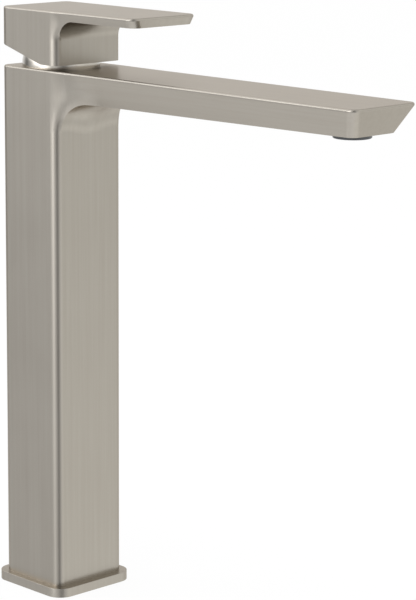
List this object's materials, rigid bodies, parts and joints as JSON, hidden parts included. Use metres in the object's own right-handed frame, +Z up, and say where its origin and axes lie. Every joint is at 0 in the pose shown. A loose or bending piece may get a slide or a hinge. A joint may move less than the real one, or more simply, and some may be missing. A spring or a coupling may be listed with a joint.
{
  "type": "single-lever basin mixer faucet",
  "caption": "Tall square-column single-lever basin mixer in brushed nickel, with a long tapered spout, a round aerator and a flat lever.",
  "frame": {"origin": "centre of the underside, on the deck, on the column's axis: the gasket's and the connector block's undersides lie in this plane", "axes": "+Z up along the column, the spout and the lever point to -Y, +X is the faucet's left seen from a user in front of it"},
  "size_m": [0.052, 0.2501, 0.305],
  "materials": {
    "brushed_nickel": "brushed nickel plating over cast brass",
    "polished_nickel": "polished nickel plating over brass",
    "raw_brass": "machined brass",
    "steel": "plain stainless steel",
    "copper": "drawn copper tube",
    "black_rubber": "moulded black rubber",
    "grey_plastic": "moulded acetal",
    "dark_plug": "moulded cover plug",
    "ceramic": "lapped alumina ceramic"
  },
  "bodies": {
    "faucet": {"faucet_body": "brushed_nickel", "base_plate": "brushed_nickel", "dome_cap": "polished_nickel", "base_gasket": "black_rubber", "base_insert": "raw_brass", "plate_screws": "steel", "cold_supply_tube": "copper", "hot_supply_tube": "copper", "tube_o_rings": "black_rubber", "cartridge_base": "grey_plastic", "port_seals": "black_rubber", "fixed_disc": "ceramic", "cartridge_housing": "grey_plastic", "clamp_nut": "raw_brass", "dome_seal": "black_rubber", "aerator_housing": "grey_plastic", "aerator_lattice": "grey_plastic", "aerator_screen": "steel", "jet_plate": "grey_plastic", "flow_regulator": "black_rubber", "aerator_seal": "black_rubber"},
    "swivel": {"swivel_guide": "grey_plastic", "pivot_pin": "steel"},
    "disc": {"disc_carrier": "grey_plastic", "moving_disc": "ceramic"},
    "lever": {"lever_handle": "brushed_nickel", "cartridge_stem": "raw_brass", "lever_screw": "steel", "screw_cover": "dark_plug"}
  },
  "joints": [
    {"name": "lever_swivel", "type": "hinge", "parent": "faucet", "child": "swivel", "pos_m": [0, 0, 0.275], "axis": [0, 0, 1], "range_deg": [-45, 45]},
    {"name": "lever_tilt", "type": "hinge", "parent": "swivel", "child": "lever", "pos_m": [0, 0, 0.275], "axis": [-1, 0, 0], "range_deg": [0, 25]},
    {"name": "disc_slide", "type": "slide", "parent": "swivel", "child": "disc", "axis": [0, -1, 0], "range_m": [0, 0.00444]}
  ],
  "couplings": [
    {"joint": "disc_slide", "follows": "lever_tilt", "m_per_rad": 0.01017}
  ]
}
